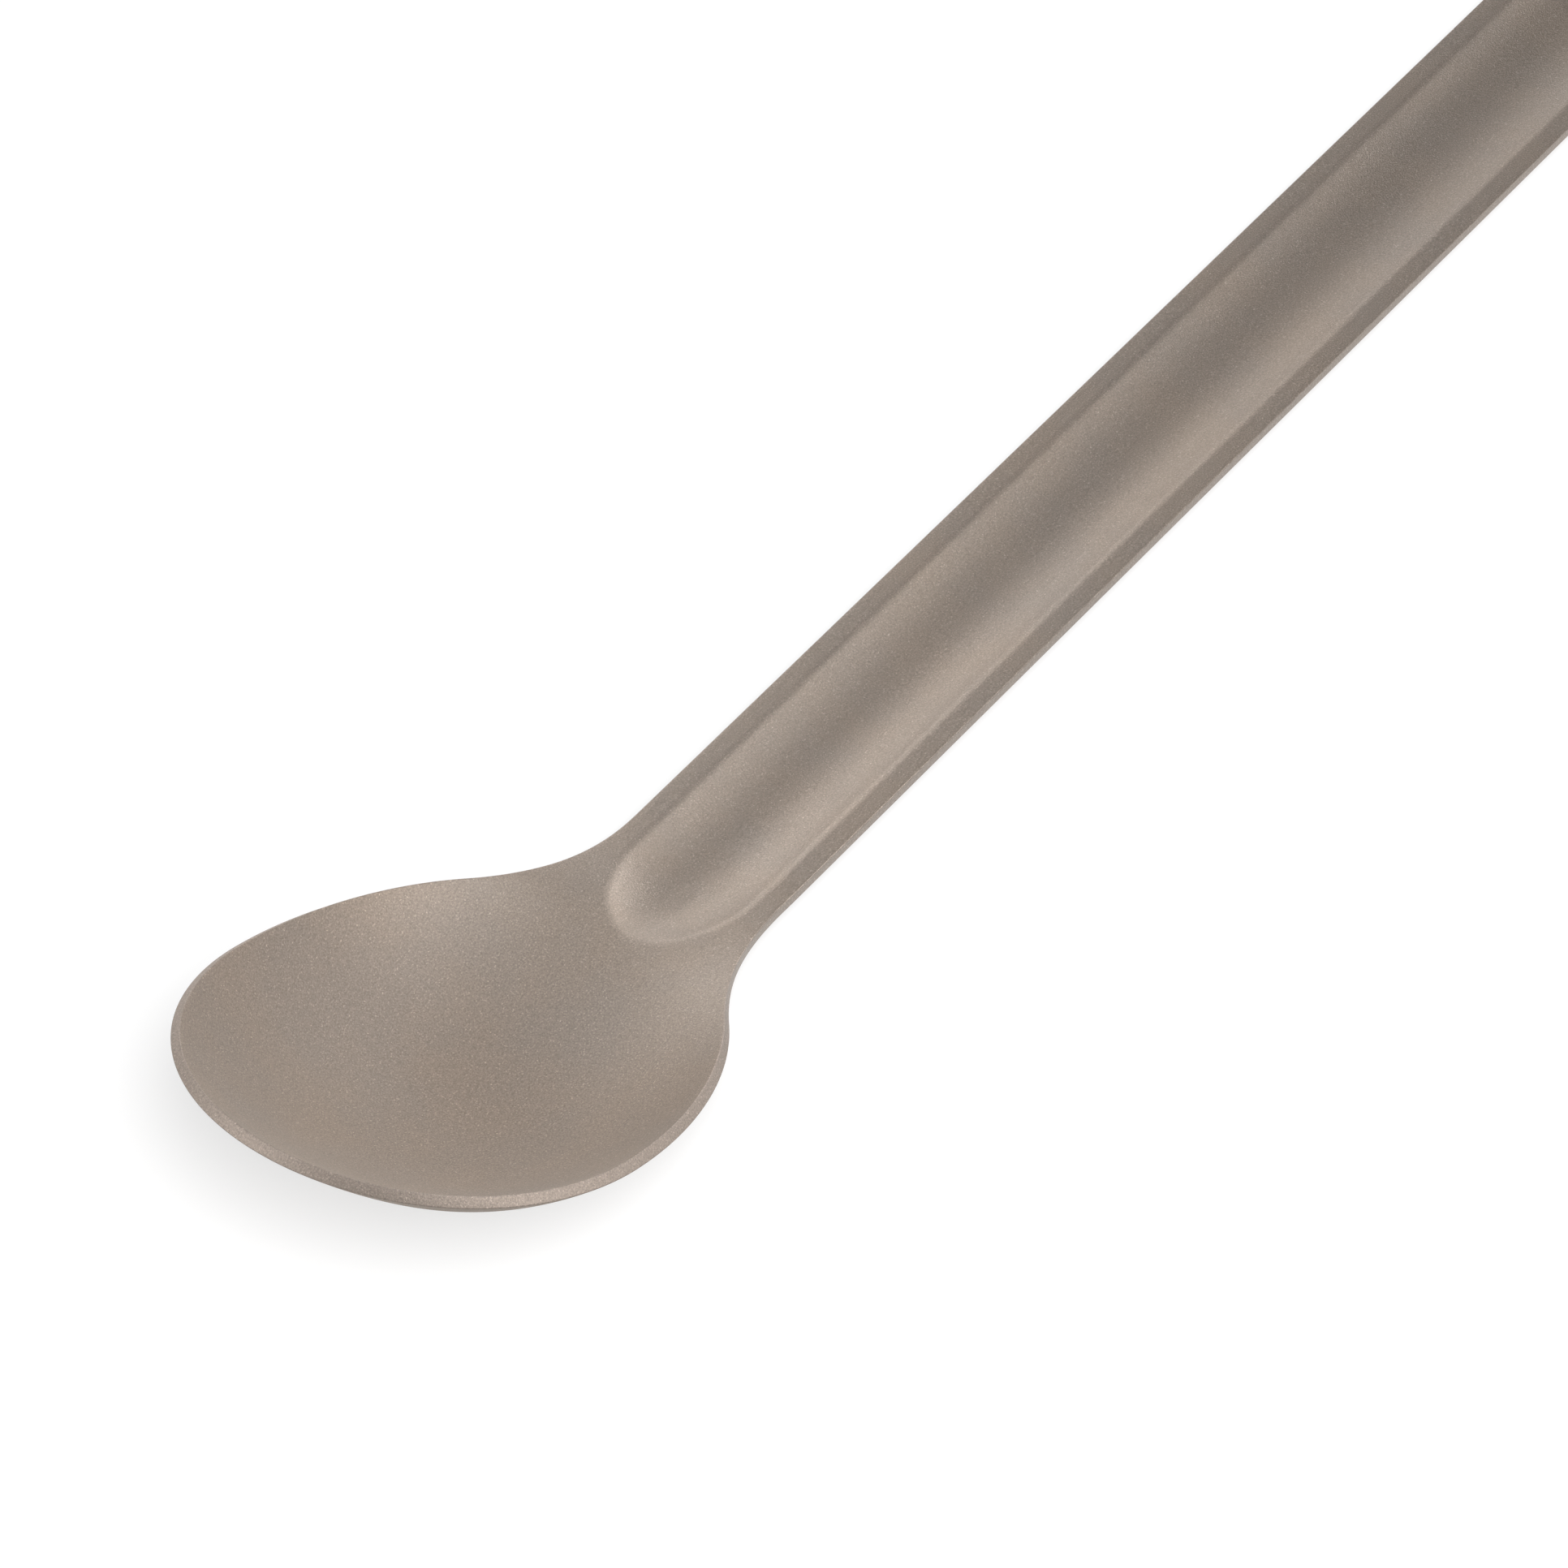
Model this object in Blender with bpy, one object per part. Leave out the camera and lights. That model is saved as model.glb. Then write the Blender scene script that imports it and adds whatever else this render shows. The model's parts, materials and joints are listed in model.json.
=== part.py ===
"""Long-handled spoon, blanked and pressed from one sheet of titanium.

Metres, +Z up, bowl towards -X. The spoon rests on a table at z = 0, below the middle of its box.
Places along the blank are measured on the flat sheet, from the tip of the bowl.
"""

import math

import bmesh
import bpy
from mathutils import Matrix

# Sheet
SHEET = 0.0010
EDGE_ROUND = 0.0003
BEND_RADIUS = 0.0012          # inside radius of the channel's shoulders

# Outline of the blank
LENGTH = 0.2220
BOWL_WIDTH = 0.0380
BOWL_FRONT = 0.0215           # tip to the widest place
BOWL_BACK = 0.0288            # widest place to the back of the bowl's egg
HANDLE_WIDTH = 0.0156
NECK_RADIUS = 0.0263          # hollow curve from the bowl to the handle

# Bowl
BOWL_DEPTH = 0.0098
BOWL_DEEPEST = 0.0260         # tip to the deepest place
BOWL_HEEL = 0.0270            # deepest place to where the floor is level with the handle
BOWL_FULLNESS = 2.2           # 2 is a parabola across the bowl, more is flatter with steeper sides

# Side view
BEND_PLACE = 0.0598           # tip to the end of the level handle
BEND_ANGLE = math.radians(13.4)
NECK_BEND_RADIUS = 0.0457
RIM_CAMBER_RADIUS = 0.3720

# Stiffening channel
FLANGE = 0.0015               # flat left on each side of the channel
CHANNEL_DEPTH = 0.0018
CHANNEL_START = 0.0469        # tip to the round end in the neck
CHANNEL_RUNOUT = 0.0095       # length over which each end narrows to a half ellipse
HANGING_TAB = 0.0180          # flat length behind the channel

# Hanging hole
HOLE_DIAMETER = 0.0065
HOLE_FROM_END = 0.0078

# Finish
TITANIUM_COLOUR = (0.314, 0.263, 0.223, 1.0)
TITANIUM_ROUGHNESS = 0.5
SMOOTH_ANGLE = math.radians(40)
BEVEL_ANGLE = math.radians(60)

# Facets along each stretch of the edge and across half the blank, and how their lines lie
FRONT_STEPS = 20
BACK_STEPS = 12
NECK_STEPS = 12
CHANNEL_START_STEPS = 6
PLAIN_STEPS = 5
CHANNEL_END_STEPS = 12
TAB_STEPS = 2
HOLE_STEPS = 7
FLOOR_STEPS = 6
SHOULDER_STEPS = 5
FLANGE_STEPS = 2
EDGE_SEGMENTS = 2
BOWL_FAN_SHARE = 0.5          # where the fan of the bowl's front starts, as a share of that front
TAB_FAN_SHARE = 0.25          # where the fan round the hole starts, as a share of the way to the hole
BISECTIONS = 60
MERGE_DISTANCE = 0.00001

# Worked out from the sizes above
HALF_BOWL = BOWL_WIDTH / 2
HALF_HANDLE = HANDLE_WIDTH / 2
HALF_CHANNEL = HALF_HANDLE - FLANGE
HOLE_RADIUS = HOLE_DIAMETER / 2
HOLE_CENTRE = LENGTH - HOLE_FROM_END
END_CENTRE = LENGTH - HALF_HANDLE
BEND_LENGTH = BEND_ANGLE * NECK_BEND_RADIUS
TAB_START = LENGTH - HANGING_TAB
CHANNEL_FULL = CHANNEL_START + CHANNEL_RUNOUT
CHANNEL_FADE = TAB_START - CHANNEL_RUNOUT
BOWL_FAN = BOWL_FAN_SHARE * BOWL_FRONT
TAB_FAN = TAB_START + TAB_FAN_SHARE * (HOLE_CENTRE - TAB_START)

# The channel's section is two tangent arcs: a hollow floor and a round shoulder
WALL_ANGLE = 2 * math.atan2(CHANNEL_DEPTH, HALF_CHANNEL)
SHOULDER_RADIUS = BEND_RADIUS + SHEET
FLOOR_RADIUS = HALF_CHANNEL / math.sin(WALL_ANGLE) - SHOULDER_RADIUS
FLOOR_REACH = FLOOR_RADIUS * math.sin(WALL_ANGLE)


def clear_scene():
    for old in list(bpy.data.objects):
        bpy.data.objects.remove(old)


def bowl_edge(turn):
    """Point on the back half of the bowl's egg, a quarter ellipse that starts at the widest place."""
    return BOWL_FRONT + BOWL_BACK * math.sin(turn), HALF_BOWL * math.cos(turn)


def bowl_edge_normal(turn):
    along = math.sin(turn) / BOWL_BACK
    across = math.cos(turn) / HALF_BOWL
    size = math.hypot(along, across)
    return along / size, across / size


def neck_tangent():
    """Turn on the egg where the neck's hollow curve leaves it, so that it also touches the handle's edge."""
    low, high = 0.0, math.pi / 2
    for _ in range(BISECTIONS):
        turn = (low + high) / 2
        reach = bowl_edge(turn)[1] + NECK_RADIUS * bowl_edge_normal(turn)[1]
        if reach > HALF_HANDLE + NECK_RADIUS:
            low = turn
        else:
            high = turn
    return turn


NECK_TURN = neck_tangent()
NECK_START = bowl_edge(NECK_TURN)[0]
NECK_SWEEP = math.asin(bowl_edge_normal(NECK_TURN)[0])
NECK_END = NECK_START + NECK_RADIUS * math.sin(NECK_SWEEP)


def half_width(place):
    """Half the blank's width in front of the handle's round end."""
    if place < BOWL_FRONT:
        return HALF_BOWL * math.sqrt(max(1 - (1 - place / BOWL_FRONT) ** 2, 0))
    if place < NECK_START:
        return HALF_BOWL * math.sqrt(1 - ((place - BOWL_FRONT) / BOWL_BACK) ** 2)
    if place < NECK_END:
        return HALF_HANDLE + NECK_RADIUS - math.sqrt(NECK_RADIUS ** 2 - (NECK_END - place) ** 2)
    return HALF_HANDLE


def spread(start, end, steps):
    """Evenly spaced values from start up to, and without, end."""
    return [start + (end - start) * step / steps for step in range(steps)]


def front_lines():
    """The bowl's front: lines that fan out from the middle to the edge."""
    lines = []
    for step, turn in enumerate(spread(0, math.pi / 2, FRONT_STEPS)):
        share = max(step - 1, 0) / (FRONT_STEPS - 1)
        middle = (BOWL_FAN + share * (BOWL_FRONT - BOWL_FAN), 0)
        edge = (BOWL_FRONT * (1 - math.cos(turn)), HALF_BOWL * math.sin(turn))
        lines.append((middle, edge))
    return lines


def square_lines():
    """The back of the bowl, the neck and the handle: lines that run square across."""
    edges = [bowl_edge(turn) for turn in spread(0, NECK_TURN, BACK_STEPS)]
    places = [NECK_END - NECK_RADIUS * math.sin(sweep) for sweep in spread(NECK_SWEEP, 0, NECK_STEPS)]
    neck_run = NECK_END + CHANNEL_RUNOUT
    places += spread(NECK_END, neck_run, CHANNEL_START_STEPS)
    places += spread(neck_run, CHANNEL_FADE, PLAIN_STEPS)
    places += spread(CHANNEL_FADE, TAB_START, CHANNEL_END_STEPS)
    edges += [(place, half_width(place)) for place in places]
    return [((place, 0), (place, width)) for place, width in edges]


def hole_lines():
    """The hanging end: lines that lean over to the hole, then fan from it to the handle's side and end."""
    middles = spread(TAB_START, HOLE_CENTRE - HOLE_RADIUS, TAB_STEPS)
    sides = spread(TAB_START, TAB_FAN, TAB_STEPS)
    lines = [((middle, 0), (side, HALF_HANDLE)) for middle, side in zip(middles, sides)]
    for share in spread(0, 1, HOLE_STEPS):
        turn = share * math.pi / 2
        hole = (HOLE_CENTRE - HOLE_RADIUS * math.cos(turn), HOLE_RADIUS * math.sin(turn))
        lines.append((hole, (TAB_FAN + share * (END_CENTRE - TAB_FAN), HALF_HANDLE)))
    for step in range(HOLE_STEPS + 1):
        turn = step / HOLE_STEPS * math.pi / 2
        across = math.cos(turn) if step < HOLE_STEPS else 0
        hole = (HOLE_CENTRE + HOLE_RADIUS * math.sin(turn), HOLE_RADIUS * across)
        lines.append((hole, (END_CENTRE + HALF_HANDLE * math.sin(turn), HALF_HANDLE * across)))
    return lines


def shares_across():
    """Shares of the half width at which each line has a point, closest where the channel's section turns."""
    places = [FLOOR_RADIUS * math.sin(turn) for turn in spread(0, WALL_ANGLE, FLOOR_STEPS)]
    shoulder = spread(WALL_ANGLE, 0, SHOULDER_STEPS)
    places += [HALF_CHANNEL - SHOULDER_RADIUS * math.sin(turn) for turn in shoulder]
    places += spread(HALF_CHANNEL, HALF_HANDLE, FLANGE_STEPS)
    return [place / HALF_HANDLE for place in places] + [1]


def bowl_sink(place, across):
    """How far the press sinks the bowl below its rim."""
    if place < BOWL_DEEPEST:
        length_share = math.sin(math.pi / 2 * place / BOWL_DEEPEST)
    else:
        length_share = math.cos(math.pi / 2 * min((place - BOWL_DEEPEST) / BOWL_HEEL, 1)) ** 2
    width = half_width(place)
    if length_share <= 0 or across >= width:
        return 0
    return BOWL_DEPTH * length_share * (1 - (across / width) ** BOWL_FULLNESS)


def channel_sink(place, across):
    """How far the press sinks the channel, whose wall keeps its section round the half-ellipse ends."""
    past_full = max(CHANNEL_FULL - place, place - CHANNEL_FADE, 0)
    along = past_full / CHANNEL_RUNOUT
    aside = across / HALF_CHANNEL
    share = math.hypot(along, aside)
    if share >= 1:
        return 0
    # Distance in from the channel's outline, to first order
    reach = 0
    if share > 0:
        growth = math.hypot(along / CHANNEL_RUNOUT, aside / HALF_CHANNEL) / share
        reach = max(HALF_CHANNEL - (1 - share) / growth, 0)
    if reach < FLOOR_REACH:
        return CHANNEL_DEPTH - FLOOR_RADIUS + math.sqrt(FLOOR_RADIUS ** 2 - reach ** 2)
    return SHOULDER_RADIUS - math.sqrt(SHOULDER_RADIUS ** 2 - (HALF_CHANNEL - reach) ** 2)


def side_view(place):
    """Run, height and slope of the rim: a level handle, the neck's bend, then the rim's slight camber."""
    if place >= BEND_PLACE:
        return place - BEND_PLACE, 0, 0
    bent = min(BEND_PLACE - place, BEND_LENGTH)
    slope = bent / NECK_BEND_RADIUS
    run = -NECK_BEND_RADIUS * math.sin(slope)
    height = NECK_BEND_RADIUS * (1 - math.cos(slope))
    tip_slope = slope + (BEND_PLACE - place - bent) / RIM_CAMBER_RADIUS
    run -= RIM_CAMBER_RADIUS * (math.sin(tip_slope) - math.sin(slope))
    height += RIM_CAMBER_RADIUS * (math.cos(slope) - math.cos(tip_slope))
    return run, height, tip_slope


def press(place, across):
    """Where a point of the flat blank goes in the press."""
    run, height, slope = side_view(place)
    sink = bowl_sink(place, across) + channel_sink(place, across)
    return run - sink * math.sin(slope), across, height - sink * math.cos(slope)


def pressed_half():
    """Upper face of the half of the sheet with y above 0: a loft from its middle to its edge."""
    sheet = bmesh.new()
    rows = []
    for middle, edge in front_lines() + square_lines() + hole_lines():
        row = []
        for share in shares_across():
            place = middle[0] + share * (edge[0] - middle[0])
            across = middle[1] + share * (edge[1] - middle[1])
            row.append(sheet.verts.new(press(place, across)))
        rows.append(row)
    for row, following in zip(rows, rows[1:]):
        for step in range(len(row) - 1):
            sheet.faces.new((row[step], following[step], following[step + 1], row[step + 1]))
    # The first two lines start at one point of the fan
    bmesh.ops.remove_doubles(sheet, verts=sheet.verts, dist=MERGE_DISTANCE)
    return sheet


def lower_hull(points):
    """Lower edge of the convex outline of (x, z) points, from left to right."""
    hull = []
    for point in sorted(points):
        while len(hull) > 1:
            (x1, z1), (x2, z2) = hull[-2:]
            if (x2 - x1) * (point[1] - z1) > (z2 - z1) * (point[0] - x1):
                break
            hull.pop()
        hull.append(point)
    return hull


def resting_turn(mesh):
    """Turn about Y that lays the sheet on the two places under its centre of mass."""
    area = sum(face.area for face in mesh.polygons)
    middle = sum(face.area * face.center.x for face in mesh.polygons) / area
    hull = lower_hull((vertex.co.x, vertex.co.z) for vertex in mesh.vertices)
    for (x1, z1), (x2, z2) in zip(hull, hull[1:]):
        if x1 <= middle <= x2:
            return Matrix.Rotation(math.atan2(z2 - z1, x2 - x1), 4, "Y")


def rest_on_table(spoon):
    """Lay the finished sheet on z = 0 with the middle of its box on the Z axis."""
    finished = spoon.evaluated_get(bpy.context.evaluated_depsgraph_get())
    sheet = finished.to_mesh()
    turn = resting_turn(sheet)
    sheet.transform(turn)
    xs = [vertex.co.x for vertex in sheet.vertices]
    bottom = min(vertex.co.z for vertex in sheet.vertices)
    finished.to_mesh_clear()
    shift = Matrix.Translation((-(min(xs) + max(xs)) / 2, 0, -bottom))
    spoon.data.transform(shift @ turn)


def titanium():
    material = bpy.data.materials.new("blasted_titanium")
    material.use_nodes = True
    shader = material.node_tree.nodes["Principled BSDF"]
    shader.inputs["Base Color"].default_value = TITANIUM_COLOUR
    shader.inputs["Metallic"].default_value = 1.0
    shader.inputs["Roughness"].default_value = TITANIUM_ROUGHNESS
    return material


def add_thickness(spoon):
    """Mirror the pressed half, give the sheet its thickness and tumble its edges round."""
    mirror = spoon.modifiers.new("other half", "MIRROR")
    mirror.use_axis = (False, True, False)
    mirror.merge_threshold = MERGE_DISTANCE
    thickness = spoon.modifiers.new("sheet", "SOLIDIFY")
    thickness.thickness = SHEET
    thickness.offset = -1
    thickness.use_even_offset = True
    edge = spoon.modifiers.new("tumbled edge", "BEVEL")
    edge.width = EDGE_ROUND
    edge.segments = EDGE_SEGMENTS
    edge.limit_method = "ANGLE"
    edge.angle_limit = BEVEL_ANGLE


def make_spoon():
    mesh = bpy.data.meshes.new("spoon")
    half = pressed_half()
    half.to_mesh(mesh)
    half.free()
    mesh.shade_smooth()
    mesh.set_sharp_from_angle(angle=SMOOTH_ANGLE)
    mesh.materials.append(titanium())
    spoon = bpy.data.objects.new("spoon", mesh)
    bpy.context.scene.collection.objects.link(spoon)
    add_thickness(spoon)
    rest_on_table(spoon)


clear_scene()
make_spoon()
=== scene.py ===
"""Looks of the long-handled spoon: one pressed sheet of bead-blasted titanium on a white studio table.

Metres, +Z up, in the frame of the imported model. Bowl towards -X, hanging hole towards +X.
Places along the blank are measured on the flat sheet, from the tip of the bowl.
"""

import json
import math

import bpy
from mathutils import Matrix, Vector


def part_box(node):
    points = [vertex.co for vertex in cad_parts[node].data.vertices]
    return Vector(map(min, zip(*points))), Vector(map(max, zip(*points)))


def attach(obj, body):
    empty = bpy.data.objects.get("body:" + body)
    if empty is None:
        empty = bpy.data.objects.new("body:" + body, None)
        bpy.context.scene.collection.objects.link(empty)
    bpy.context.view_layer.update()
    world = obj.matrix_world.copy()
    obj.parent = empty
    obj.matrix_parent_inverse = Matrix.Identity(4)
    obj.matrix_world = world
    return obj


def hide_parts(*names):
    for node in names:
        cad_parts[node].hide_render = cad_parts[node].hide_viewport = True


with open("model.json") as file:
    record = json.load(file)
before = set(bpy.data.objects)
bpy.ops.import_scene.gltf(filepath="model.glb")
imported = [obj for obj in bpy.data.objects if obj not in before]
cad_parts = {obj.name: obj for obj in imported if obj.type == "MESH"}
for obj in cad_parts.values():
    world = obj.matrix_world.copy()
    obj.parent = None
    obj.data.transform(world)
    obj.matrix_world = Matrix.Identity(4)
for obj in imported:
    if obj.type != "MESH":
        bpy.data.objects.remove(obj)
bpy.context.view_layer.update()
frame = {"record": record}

MM = 0.001

# Sheet
SHEET = 1.0 * MM
EDGE_ROUND = 0.48 * MM
BEND_RADIUS = 1.2 * MM

# Outline of the blank
LENGTH = 222.0 * MM
BOWL_WIDTH = 38.0 * MM
BOWL_FRONT = 21.5 * MM
BOWL_BACK = 28.8 * MM
HANDLE_WIDTH = 15.6 * MM
NECK_RADIUS = 26.3 * MM

# Bowl
BOWL_DEPTH = 9.8 * MM
BOWL_DEEPEST = 26.0 * MM
BOWL_HEEL = 27.0 * MM
BOWL_FULLNESS = 2.2
FAIRING_STEP = 2.5 * MM
FAIRING_WEIGHTS = (1, 4, 6, 4, 1)

# Side view
BEND_PLACE = 59.8 * MM
BEND_ANGLE = math.radians(13.4)
NECK_BEND_RADIUS = 45.7 * MM
RIM_CAMBER_RADIUS = 372.0 * MM

# Stiffening channel
FLANGE = 1.5 * MM
CHANNEL_DEPTH = 1.4 * MM
CHANNEL_START = 46.9 * MM
CHANNEL_RUNOUT = 9.5 * MM
HANGING_TAB = 18.0 * MM

# Hanging hole
HOLE_DIAMETER = 6.5 * MM
HOLE_FROM_END = 7.8 * MM

# Facets along each stretch of the edge and across half the blank, and how their lines lie
FRONT_STEPS = 64
BACK_STEPS = 36
NECK_STEPS = 36
CHANNEL_START_STEPS = 22
PLAIN_STEPS = 40
CHANNEL_END_STEPS = 36
TAB_STEPS = 6
HOLE_STEPS = 14
ACROSS_STEPS = 40
EDGE_BAND = 0.6 * MM
EDGE_SEGMENTS = 6
EDGE_ANGLE = math.radians(60)
BOWL_FAN_SHARE = 0.5
TAB_FAN_SHARE = 0.25
BISECTIONS = 60
MERGE_DISTANCE = 0.01 * MM

# Worked out from the sizes above
HALF_BOWL = BOWL_WIDTH / 2
HALF_HANDLE = HANDLE_WIDTH / 2
HALF_CHANNEL = HALF_HANDLE - FLANGE
HOLE_RADIUS = HOLE_DIAMETER / 2
HOLE_CENTRE = LENGTH - HOLE_FROM_END
END_CENTRE = LENGTH - HALF_HANDLE
BEND_LENGTH = BEND_ANGLE * NECK_BEND_RADIUS
TAB_START = LENGTH - HANGING_TAB
CHANNEL_FULL = CHANNEL_START + CHANNEL_RUNOUT
CHANNEL_FADE = TAB_START - CHANNEL_RUNOUT
BOWL_FAN = BOWL_FAN_SHARE * BOWL_FRONT
TAB_FAN = TAB_START + TAB_FAN_SHARE * (HOLE_CENTRE - TAB_START)
WALL_ANGLE = 2 * math.atan2(CHANNEL_DEPTH, HALF_CHANNEL)
SHOULDER_RADIUS = BEND_RADIUS + SHEET
FLOOR_RADIUS = HALF_CHANNEL / math.sin(WALL_ANGLE) - SHOULDER_RADIUS
FLOOR_REACH = FLOOR_RADIUS * math.sin(WALL_ANGLE)

# Camera, at the photograph's viewing angle
CAMERA_TARGET = Vector((-44.20 * MM, -0.79 * MM, 5.03 * MM))
CAMERA_DISTANCE = 664.5 * MM
CAMERA_AZIMUTH = math.radians(-54.344)
CAMERA_ELEVATION = math.radians(45.658)
CAMERA_ROLL = math.radians(0.446)
CAMERA_LENS_MM = 187.96
SENSOR_MM = 36.0

# Table: white paper, the share of plain white that lifts it, and a sun that lights the paper alone
# The sun's azimuth, elevation and angle are in degrees
TABLE_SIZE = 6.0
TABLE_COLOUR = "#FAFAFA"
TABLE_ROUGHNESS = 0.9
TABLE_LIFT = 0.68
TABLE_LIGHT_AZIMUTH = -128
TABLE_LIGHT_ELEVATION = 55
TABLE_LIGHT_ANGLE = 30
TABLE_LIGHT_STRENGTH = 4.0

# Light on the spoon: a dim room, and soft round lamps that face one point in the back of the bowl
# Distance and size are in metres and spread is in degrees, alike for all low and for all high lamps
# Each lamp has its azimuth and elevation in degrees and its power in watts
ROOM_COLOUR = "#FFFFFF"
ROOM_STRENGTH = 0.2
LAMP_TARGET = Vector((-75 * MM, 0, 5 * MM))
LOW_LAMP = {"distance": 1.2, "size": 0.56, "spread": 22}
LOW_LAMPS = {
    "low lamp beyond the neck": (40, 5, 0.06),
    "low lamp behind the handle's far edge": (20, 15, 0.08),
    "low lamp behind the handle's near edge": (-10, 20, 0.20),
    "low lamp over the far rim": (40, 25, 0.025),
    "low lamp to the far left": (75, 20, 0.10),
}
HIGH_LAMP = {"distance": 0.45, "size": 0.21, "spread": 54}
HIGH_LAMPS = {
    "lamp beyond the far rim": (60, 35, 0.04),
    "lamp to the near right": (-75, 35, 0.17),
    "lamp behind the tip": (145, 35, 0.14),
    "lamp overhead": (-35, 70, 0.05),
}

# Bead-blasted titanium: colours, and a roughness that changes along X from the bowl to the handle
TITANIUM_WARM = "#998D82"
TITANIUM_COOL = "#958B82"
# The edge colour is partly wear and partly a painted highlight: the sheet's edge is painted lighter than
# its faces
RUBBED_EDGE_AND_PAINTED_HIGHLIGHT = "#9B9087"
BOWL_ROUGHNESS = 0.75
HANDLE_ROUGHNESS = 0.45
MATTE_END = -85 * MM
SATIN_START = -55 * MM
EDGE_POLISH = -0.08

# Clouds and blasted grain, and painted glints: bright specks painted into the colour at the grain's peaks.
# Their sizes, and the noise values between which each takes effect
CLOUD_SIZE = 9 * MM
CLOUD_NOISE = {"Detail": 3.0, "Roughness": 0.55}
CLOUD_RANGE = {"From Min": 0.35, "From Max": 0.65}
GRAIN_SIZE = 0.14 * MM
GRAIN_NOISE = {"Detail": 2.0, "Roughness": 0.6}
GRAIN_DEPTH = 0.03 * MM
GRAIN_SHADE = 0.20
SHADE_RANGE = {"From Min": 0.3, "From Max": 0.7}
PAINTED_GLINT = 0.8
PAINTED_GLINT_RANGE = {"From Min": 0.64, "From Max": 0.8}

# Material slots while the sheet is made, and the attribute that marks its edge, worn and painted with a
# highlight
FACE_SLOT = 0
EDGE_SLOT = 1
RUBBED_AND_HIGHLIGHT_EDGE = "rubbed_and_highlight"


def deselect_all():
    """Leave nothing selected, so that an operator acts on the new piece only."""
    bpy.ops.object.select_all(action="DESELECT")


def bowl_edge(turn):
    """Point on the back half of the bowl's egg, a quarter ellipse that starts at the widest place."""
    return BOWL_FRONT + BOWL_BACK * math.sin(turn), HALF_BOWL * math.cos(turn)


def bowl_edge_normal(turn):
    """Outward normal of the egg at that point."""
    along = math.sin(turn) / BOWL_BACK
    across = math.cos(turn) / HALF_BOWL
    size = math.hypot(along, across)
    return along / size, across / size


def neck_tangent():
    """Turn on the egg where the neck's hollow curve leaves it to touch the handle's edge."""
    low, high = 0.0, math.pi / 2
    for _ in range(BISECTIONS):
        turn = (low + high) / 2
        reach = bowl_edge(turn)[1] + NECK_RADIUS * bowl_edge_normal(turn)[1]
        if reach > HALF_HANDLE + NECK_RADIUS:
            low = turn
        else:
            high = turn
    return turn


NECK_TURN = neck_tangent()
NECK_START = bowl_edge(NECK_TURN)[0]
NECK_SWEEP = math.asin(bowl_edge_normal(NECK_TURN)[0])
NECK_END = NECK_START + NECK_RADIUS * math.sin(NECK_SWEEP)


def half_width(place):
    """Half the blank's width in front of the handle's round end."""
    if place < BOWL_FRONT:
        return HALF_BOWL * math.sqrt(max(1 - (1 - place / BOWL_FRONT) ** 2, 0))
    if place < NECK_START:
        return HALF_BOWL * math.sqrt(1 - ((place - BOWL_FRONT) / BOWL_BACK) ** 2)
    if place < NECK_END:
        return HALF_HANDLE + NECK_RADIUS - math.sqrt(NECK_RADIUS ** 2 - (NECK_END - place) ** 2)
    return HALF_HANDLE


def spread(start, end, steps):
    """Evenly spaced values from start up to, and without, end."""
    return [start + (end - start) * step / steps for step in range(steps)]


def front_lines():
    """The bowl's front: lines that fan out from the middle to the edge."""
    lines = []
    for step, turn in enumerate(spread(0, math.pi / 2, FRONT_STEPS)):
        share = max(step - 1, 0) / (FRONT_STEPS - 1)
        middle = (BOWL_FAN + share * (BOWL_FRONT - BOWL_FAN), 0)
        lines.append((middle, (BOWL_FRONT * (1 - math.cos(turn)), HALF_BOWL * math.sin(turn))))
    return lines


def square_lines():
    """The back of the bowl, the neck and the handle: lines that run square across."""
    edges = [bowl_edge(turn) for turn in spread(0, NECK_TURN, BACK_STEPS)]
    places = [NECK_END - NECK_RADIUS * math.sin(sweep) for sweep in spread(NECK_SWEEP, 0, NECK_STEPS)]
    neck_run = NECK_END + CHANNEL_RUNOUT
    places += spread(NECK_END, neck_run, CHANNEL_START_STEPS)
    places += spread(neck_run, CHANNEL_FADE, PLAIN_STEPS)
    places += spread(CHANNEL_FADE, TAB_START, CHANNEL_END_STEPS)
    edges += [(place, half_width(place)) for place in places]
    return [((place, 0), (place, width)) for place, width in edges]


def hole_lines():
    """The hanging end: lines that lean over to the hole, then fan from it to the side and the end."""
    middles = spread(TAB_START, HOLE_CENTRE - HOLE_RADIUS, TAB_STEPS)
    sides = spread(TAB_START, TAB_FAN, TAB_STEPS)
    lines = [((middle, 0), (side, HALF_HANDLE)) for middle, side in zip(middles, sides)]
    for share in spread(0, 1, HOLE_STEPS):
        turn = share * math.pi / 2
        hole = (HOLE_CENTRE - HOLE_RADIUS * math.cos(turn), HOLE_RADIUS * math.sin(turn))
        lines.append((hole, (TAB_FAN + share * (END_CENTRE - TAB_FAN), HALF_HANDLE)))
    for step in range(HOLE_STEPS + 1):
        turn = step / HOLE_STEPS * math.pi / 2
        # The last line lies exactly on the middle, where the two halves meet
        across = math.cos(turn) if step < HOLE_STEPS else 0
        hole = (HOLE_CENTRE + HOLE_RADIUS * math.sin(turn), HOLE_RADIUS * across)
        lines.append((hole, (END_CENTRE + HALF_HANDLE * math.sin(turn), HALF_HANDLE * across)))
    return lines


def length_share(place):
    """Share of the bowl's depth that its middle has at a place."""
    if place < BOWL_DEEPEST:
        return math.sin(math.pi / 2 * place / BOWL_DEEPEST)
    return math.cos(math.pi / 2 * min((place - BOWL_DEEPEST) / BOWL_HEEL, 1)) ** 2


def faired_share(place):
    """The same with its changes of curvature faired, so that no crease catches the light."""
    middle = len(FAIRING_WEIGHTS) // 2
    total = 0
    for step, weight in enumerate(FAIRING_WEIGHTS):
        total += weight * length_share(place + (step - middle) * FAIRING_STEP)
    return total / sum(FAIRING_WEIGHTS)


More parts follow.
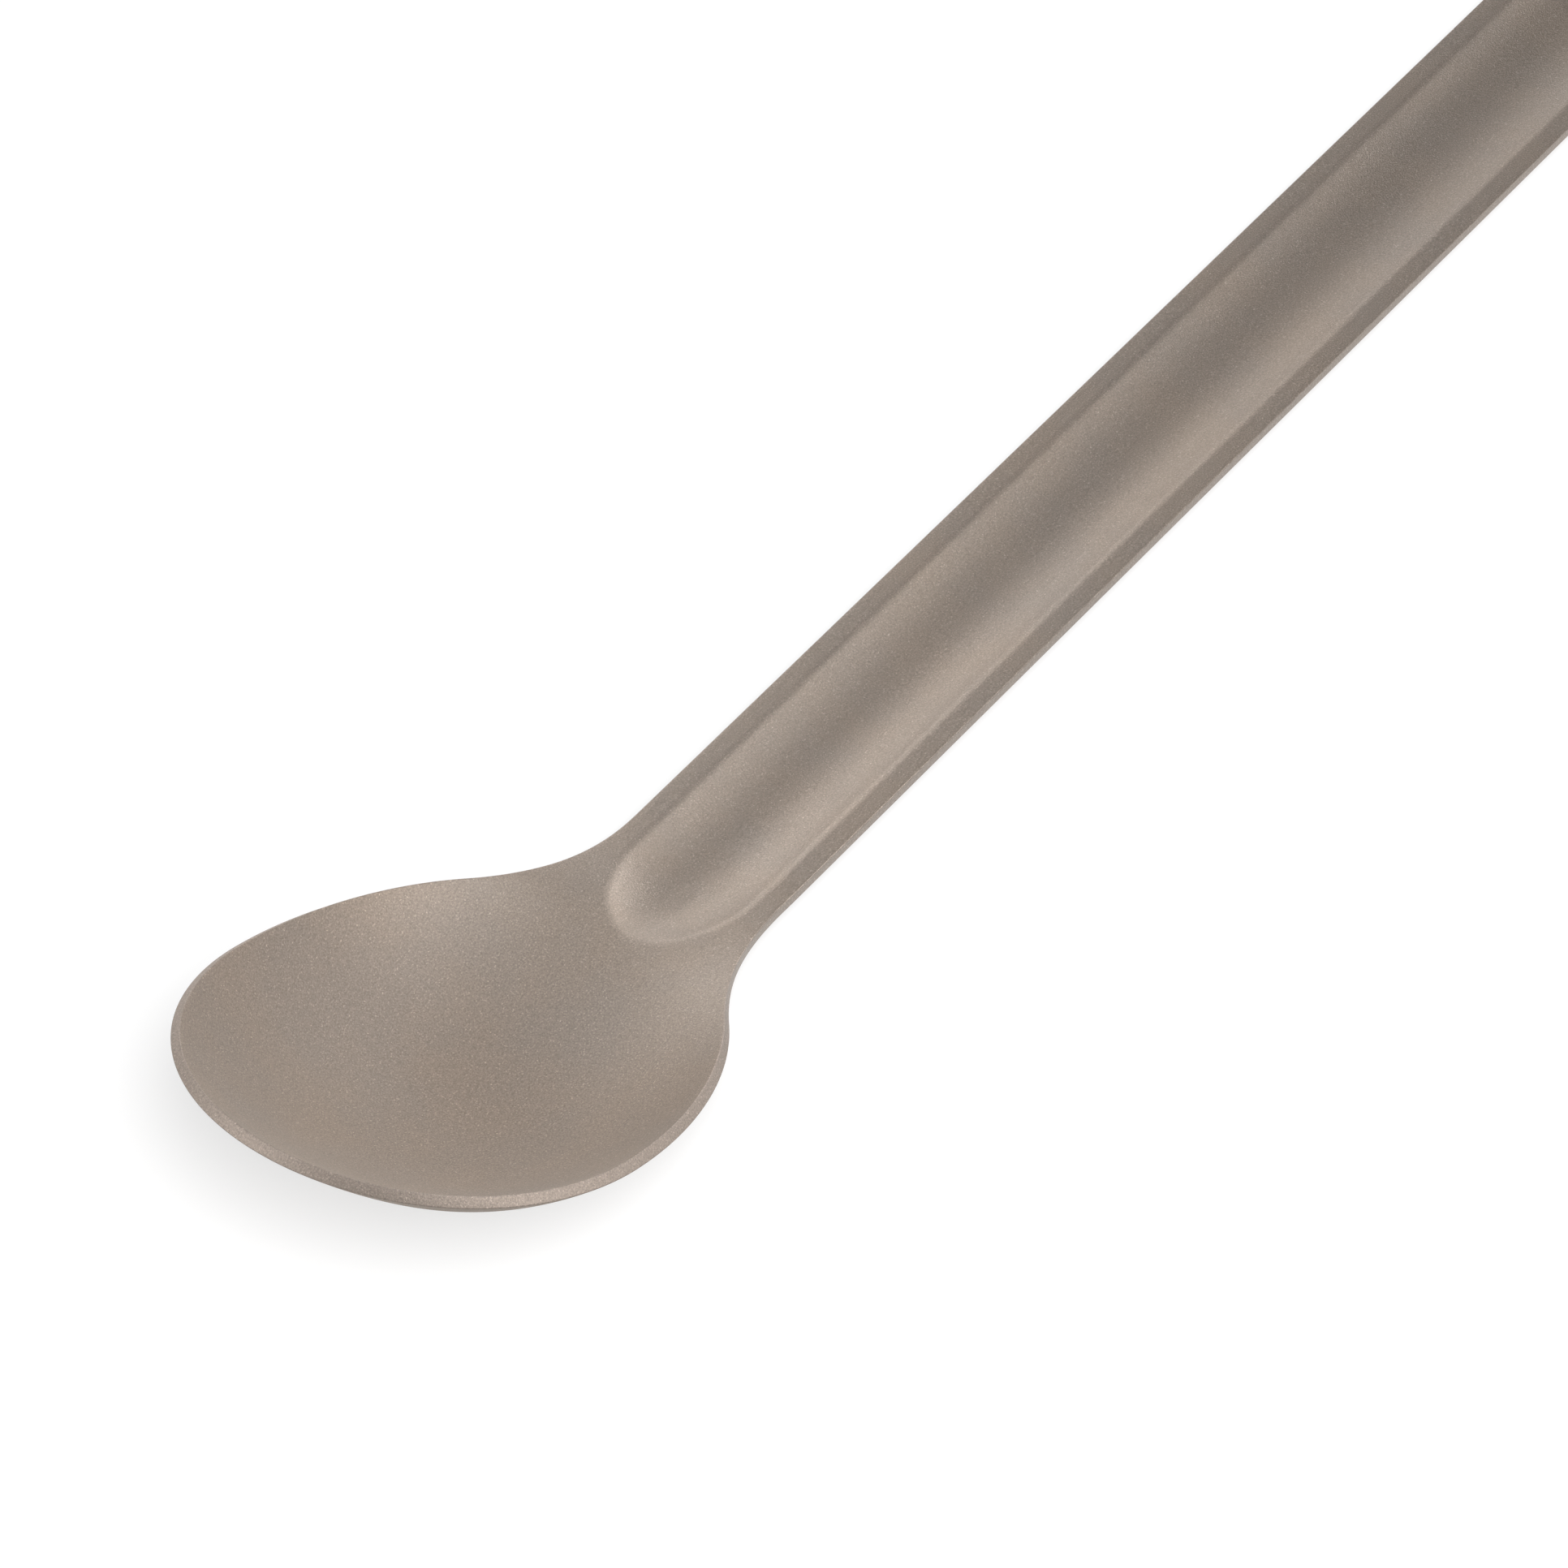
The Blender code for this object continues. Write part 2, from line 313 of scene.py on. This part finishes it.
def bowl_sink(place, across):
    """How far the press sinks the bowl below its rim."""
    depth = BOWL_DEPTH * faired_share(place)
    width = half_width(place)
    if depth <= 0 or across >= width:
        return 0
    return depth * (1 - (across / width) ** BOWL_FULLNESS)


def channel_sink(place, across):
    """How far the press sinks the channel, whose wall keeps its section round the half-ellipse ends."""
    past_full = max(CHANNEL_FULL - place, place - CHANNEL_FADE, 0)
    along = past_full / CHANNEL_RUNOUT
    aside = across / HALF_CHANNEL
    share = math.hypot(along, aside)
    if share >= 1:
        return 0
    # Distance in from the channel's outline, to first order
    reach = 0
    if share > 0:
        growth = math.hypot(along / CHANNEL_RUNOUT, aside / HALF_CHANNEL) / share
        reach = max(HALF_CHANNEL - (1 - share) / growth, 0)
    if reach < FLOOR_REACH:
        return CHANNEL_DEPTH - FLOOR_RADIUS + math.sqrt(FLOOR_RADIUS ** 2 - reach ** 2)
    return SHOULDER_RADIUS - math.sqrt(SHOULDER_RADIUS ** 2 - (HALF_CHANNEL - reach) ** 2)


def side_view(place):
    """Run, height and slope of the rim: a level handle, the neck's bend, then a slight camber."""
    if place >= BEND_PLACE:
        return place - BEND_PLACE, 0, 0
    bent = min(BEND_PLACE - place, BEND_LENGTH)
    slope = bent / NECK_BEND_RADIUS
    run = -NECK_BEND_RADIUS * math.sin(slope)
    height = NECK_BEND_RADIUS * (1 - math.cos(slope))
    tip_slope = slope + (BEND_PLACE - place - bent) / RIM_CAMBER_RADIUS
    run -= RIM_CAMBER_RADIUS * (math.sin(tip_slope) - math.sin(slope))
    height += RIM_CAMBER_RADIUS * (math.cos(slope) - math.cos(tip_slope))
    return run, height, tip_slope


def press(place, across):
    """Where a point of the flat blank goes in the press."""
    run, height, slope = side_view(place)
    sink = bowl_sink(place, across) + channel_sink(place, across)
    return run - sink * math.sin(slope), across, height - sink * math.cos(slope)


def point_on_line(line, step):
    """Point on a line from the blank's middle to its edge, where the last step is a narrow, even band."""
    (middle_place, middle_across), (edge_place, edge_across) = line
    reach = math.hypot(edge_place - middle_place, edge_across - middle_across)
    share = 1 if step > ACROSS_STEPS else step / ACROSS_STEPS * (1 - EDGE_BAND / reach)
    place = middle_place + share * (edge_place - middle_place)
    across = middle_across + share * (edge_across - middle_across)
    return place, across


def pressed_half():
    """Upper face of half the spoon: a grid, one row to each line of the blank, put through the press."""
    lines = front_lines() + square_lines() + hole_lines()
    rows = len(lines) - 1
    steps = ACROSS_STEPS + 1
    deselect_all()
    bpy.ops.mesh.primitive_grid_add(x_subdivisions=rows, y_subdivisions=steps, size=1)
    half = bpy.context.object
    for vertex in half.data.vertices:
        line = round((vertex.co.x + 0.5) * rows)
        step = round((vertex.co.y + 0.5) * steps)
        vertex.co = press(*point_on_line(lines[line], step))
    bpy.ops.object.mode_set(mode="EDIT")
    bpy.ops.mesh.select_all(action="SELECT")
    bpy.ops.mesh.remove_doubles(threshold=MERGE_DISTANCE)
    bpy.ops.object.mode_set(mode="OBJECT")
    return half


def add_modifier(piece, kind, **settings):
    """Add a modifier with its settings and apply it."""
    modifier = piece.modifiers.new(kind.lower(), kind)
    for name, value in settings.items():
        setattr(modifier, name, value)
    bpy.ops.object.modifier_apply(modifier=modifier.name)


def lay_where_the_cad_lies(spoon):
    """Tilt the spoon as it rests on the table, then bring its box over the CAD node's box."""
    tab_axis = frame["record"]["mounts"][0]["axis"]
    spoon.data.transform(Matrix.Rotation(math.atan2(tab_axis[0], tab_axis[2]), 4, "Y"))
    low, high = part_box("spoon")
    xs = [vertex.co.x for vertex in spoon.data.vertices]
    bottom = min(vertex.co.z for vertex in spoon.data.vertices)
    along = (low.x + high.x - min(xs) - max(xs)) / 2
    spoon.data.transform(Matrix.Translation((along, 0, low.z - bottom)))


def mark_rubbed_and_highlight_edge(spoon):
    """Mark the points of the sheet's edge, worn and painted lighter as a highlight, which has a slot of
    its own, then put all faces in one slot.
    """
    rubbed_and_highlight = spoon.data.attributes.new(RUBBED_AND_HIGHLIGHT_EDGE, "FLOAT", "POINT")
    for polygon in spoon.data.polygons:
        if polygon.material_index == EDGE_SLOT:
            for vertex in polygon.vertices:
                rubbed_and_highlight.data[vertex].value = 1.0
        polygon.material_index = FACE_SLOT


def make_spoon():
    """Press half the sheet, mirror it, give it its thickness and tumble its edges round."""
    spoon = pressed_half()
    spoon.name = "pressed_spoon"
    spoon.data.name = "pressed_spoon"
    add_modifier(spoon, "MIRROR", use_axis=(False, True, False), merge_threshold=MERGE_DISTANCE)
    for _ in (FACE_SLOT, EDGE_SLOT):
        spoon.data.materials.append(None)
    add_modifier(
        spoon,
        "SOLIDIFY",
        thickness=SHEET,
        offset=-1,
        use_even_offset=True,
        material_offset_rim=EDGE_SLOT,
    )
    add_modifier(
        spoon,
        "BEVEL",
        width=EDGE_ROUND,
        segments=EDGE_SEGMENTS,
        limit_method="ANGLE",
        angle_limit=EDGE_ANGLE,
    )
    mark_rubbed_and_highlight_edge(spoon)
    bpy.ops.object.shade_smooth()
    lay_where_the_cad_lies(spoon)
    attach(spoon, "root")
    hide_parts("spoon")
    return spoon


def linear(hex_colour):
    """Linear RGBA of an sRGB hex colour."""
    shares = [int(hex_colour[place:place + 2], 16) / 255 for place in (1, 3, 5)]
    return [s / 12.92 if s <= 0.04045 else ((s + 0.055) / 1.055) ** 2.4 for s in shares] + [1.0]


def add_node(tree, kind, inputs=None, **settings):
    """Add a node with its settings; an input is a value or the socket that feeds it."""
    node = tree.nodes.new(kind)
    for name, value in settings.items():
        setattr(node, name, value)
    for name, value in (inputs or {}).items():
        if isinstance(value, bpy.types.NodeSocket):
            tree.links.new(value, node.inputs[name])
        else:
            node.inputs[name].default_value = value
    return node


def blasted_titanium():
    """Titanium sheet, pressed and then bead-blasted.

    The blast leaves a satin skin of tiny dents, warm grey with faint clouds: soft highlights, no mirror
    image and a fine grain, with glints painted into its colour as bright specks. Handling rubs the edges a
    little smoother, and their colour is a little brighter, partly from wear and partly as a painted
    highlight.
    """
    material = bpy.data.materials.new("bead_blasted_titanium")
    material.use_nodes = True
    tree = material.node_tree
    place = add_node(tree, "ShaderNodeTexCoord").outputs["Object"]
    along = add_node(tree, "ShaderNodeSeparateXYZ", {0: place}).outputs["X"]

    # Beads leave dents of about 0.05 mm, drawn coarser here so that they show
    grain = add_node(
        tree, "ShaderNodeTexNoise", {"Vector": place, "Scale": 1 / GRAIN_SIZE, **GRAIN_NOISE}
    ).outputs["Fac"]
    clouds = add_node(
        tree, "ShaderNodeTexNoise", {"Vector": place, "Scale": 1 / CLOUD_SIZE, **CLOUD_NOISE}
    ).outputs["Fac"]
    edge = add_node(tree, "ShaderNodeAttribute", attribute_name=RUBBED_AND_HIGHLIGHT_EDGE).outputs["Fac"]

    warmth = add_node(tree, "ShaderNodeMapRange", {"Value": clouds, **CLOUD_RANGE}).outputs["Result"]
    skin = add_node(
        tree,
        "ShaderNodeMixRGB",
        {"Fac": warmth, "Color1": linear(TITANIUM_COOL), "Color2": linear(TITANIUM_WARM)},
    ).outputs["Color"]
    # Painted highlight and wear: the sheet's edge is painted a lighter colour than its faces
    rubbed_and_highlight = add_node(
        tree, "ShaderNodeMixRGB", {"Fac": edge, "Color1": skin, "Color2": linear(RUBBED_EDGE_AND_PAINTED_HIGHLIGHT)}
    ).outputs["Color"]
    shade = add_node(
        tree,
        "ShaderNodeMapRange",
        {"Value": grain, **SHADE_RANGE, "To Min": 1 - GRAIN_SHADE, "To Max": 1 + GRAIN_SHADE},
    ).outputs["Result"]
    # Painted glints: bright specks added to the colour where the grain peaks
    painted_glints = add_node(
        tree, "ShaderNodeMapRange", {"Value": grain, **PAINTED_GLINT_RANGE, "To Max": PAINTED_GLINT}
    ).outputs["Result"]
    grain_and_painted_glints = add_node(tree, "ShaderNodeMath", {0: shade, 1: painted_glints}, operation="ADD").outputs[0]
    grained_and_painted_highlights = add_node(
        tree,
        "ShaderNodeMixRGB",
        {"Fac": 1.0, "Color1": rubbed_and_highlight, "Color2": grain_and_painted_glints},
        blend_type="MULTIPLY",
    ).outputs["Color"]

    # The bowl is blasted more matte than the handle
    roughness = add_node(
        tree,
        "ShaderNodeMapRange",
        {
            "Value": along,
            "From Min": MATTE_END,
            "From Max": SATIN_START,
            "To Min": BOWL_ROUGHNESS,
            "To Max": HANDLE_ROUGHNESS,
        },
        interpolation_type="SMOOTHSTEP",
    ).outputs["Result"]
    smoother = add_node(
        tree, "ShaderNodeMath", {0: edge, 1: EDGE_POLISH, 2: roughness}, operation="MULTIPLY_ADD"
    ).outputs[0]
    dents = add_node(
        tree, "ShaderNodeBump", {"Height": grain, "Distance": GRAIN_DEPTH}
    ).outputs["Normal"]

    shader = tree.nodes["Principled BSDF"]
    shader.inputs["Metallic"].default_value = 1.0
    tree.links.new(grained_and_painted_highlights, shader.inputs["Base Color"])
    tree.links.new(smoother, shader.inputs["Roughness"])
    tree.links.new(dents, shader.inputs["Normal"])
    return material


def aim(lamp, direction):
    """Turn a lamp so that it shines back along the direction it stands in."""
    lamp.rotation_mode = "QUATERNION"
    lamp.rotation_quaternion = direction.to_track_quat("Z", "Y")


def direction_of(azimuth, elevation):
    """Direction of a lamp from its azimuth and elevation in degrees."""
    turn = math.radians(azimuth)
    rise = math.radians(elevation)
    return Vector((math.cos(rise) * math.cos(turn), math.cos(rise) * math.sin(turn), math.sin(rise)))


def add_lamp(name, kind, receiver, **settings):
    """A lamp that lights one thing only, and that the camera doesn't see."""
    data = bpy.data.lights.new(name, kind)
    for setting, value in settings.items():
        setattr(data, setting, value)
    lamp = bpy.data.objects.new(name, data)
    bpy.context.scene.collection.objects.link(lamp)
    receivers = bpy.data.collections.new(name + " lights")
    receivers.objects.link(receiver)
    lamp.light_linking.receiver_collection = receivers
    lamp.visible_camera = False
    return lamp


def light_spoon(spoon):
    """Soft round lamps about the spoon, each with a pool of light that fades along the handle."""
    for kind, lamps in ((LOW_LAMP, LOW_LAMPS), (HIGH_LAMP, HIGH_LAMPS)):
        beam = math.radians(kind["spread"])
        for name, (azimuth, elevation, watts) in lamps.items():
            lamp = add_lamp(
                name, "AREA", spoon, shape="DISK", size=kind["size"], spread=beam, energy=watts
            )
            direction = direction_of(azimuth, elevation)
            aim(lamp, direction)
            lamp.location = LAMP_TARGET + kind["distance"] * direction


def white_paper():
    """Matte white paper, lifted to the camera so that only a pale shadow is left on it."""
    material = bpy.data.materials.new("white_paper")
    material.use_nodes = True
    tree = material.node_tree
    shader = tree.nodes["Principled BSDF"]
    shader.inputs["Base Color"].default_value = linear(TABLE_COLOUR)
    shader.inputs["Roughness"].default_value = TABLE_ROUGHNESS
    shader.inputs["Specular IOR Level"].default_value = 0.0
    path = add_node(tree, "ShaderNodeLightPath").outputs
    seen = add_node(
        tree, "ShaderNodeMath", {0: path["Is Camera Ray"], 1: path["Is Glossy Ray"]}, operation="MAXIMUM"
    )
    lift = add_node(tree, "ShaderNodeMath", {0: seen.outputs[0], 1: TABLE_LIFT}, operation="MULTIPLY")
    white = add_node(tree, "ShaderNodeEmission", {"Strength": 1.0})
    both = add_node(
        tree, "ShaderNodeMixShader", {0: lift.outputs[0], 1: shader.outputs[0], 2: white.outputs[0]}
    )
    tree.links.new(both.outputs[0], tree.nodes["Material Output"].inputs["Surface"])
    return material


def make_table():
    """The pale floor, with the sun that casts the spoon's shadow on it."""
    deselect_all()
    bpy.ops.mesh.primitive_plane_add(size=TABLE_SIZE)
    table = bpy.context.object
    table.name = "table"
    table.data.materials.append(white_paper())
    angle = math.radians(TABLE_LIGHT_ANGLE)
    light = add_lamp("table light", "SUN", table, angle=angle, energy=TABLE_LIGHT_STRENGTH)
    aim(light, direction_of(TABLE_LIGHT_AZIMUTH, TABLE_LIGHT_ELEVATION))


def make_world():
    """White behind the table for the camera, and a dim white room for the spoon to reflect."""
    world = bpy.data.worlds.new("studio")
    world.use_nodes = True
    tree = world.node_tree
    path = add_node(tree, "ShaderNodeLightPath").outputs
    strength = add_node(
        tree,
        "ShaderNodeMapRange",
        {"Value": path["Is Camera Ray"], "To Min": ROOM_STRENGTH, "To Max": 1.0},
    ).outputs["Result"]
    background = tree.nodes["Background"]
    background.inputs["Color"].default_value = linear(ROOM_COLOUR)
    tree.links.new(strength, background.inputs["Strength"])
    bpy.context.scene.world = world


def make_camera():
    """Camera at the photograph's angle."""
    flat = math.cos(CAMERA_ELEVATION)
    back = Vector(
        (math.sin(CAMERA_AZIMUTH) * flat, -math.cos(CAMERA_AZIMUTH) * flat, math.sin(CAMERA_ELEVATION))
    )
    data = bpy.data.cameras.new("camera")
    data.lens = CAMERA_LENS_MM
    data.sensor_width = SENSOR_MM
    camera = bpy.data.objects.new("camera", data)
    bpy.context.scene.collection.objects.link(camera)
    turn = (-back).to_track_quat("-Z", "Y").to_matrix().to_4x4() @ Matrix.Rotation(CAMERA_ROLL, 4, "Z")
    camera.matrix_world = Matrix.Translation(CAMERA_TARGET + CAMERA_DISTANCE * back) @ turn
    bpy.context.scene.camera = camera


spoon = make_spoon()
spoon.data.materials.clear()
spoon.data.materials.append(blasted_titanium())
light_spoon(spoon)
make_table()
make_world()
make_camera()
bpy.context.scene.view_settings.view_transform = "Standard"
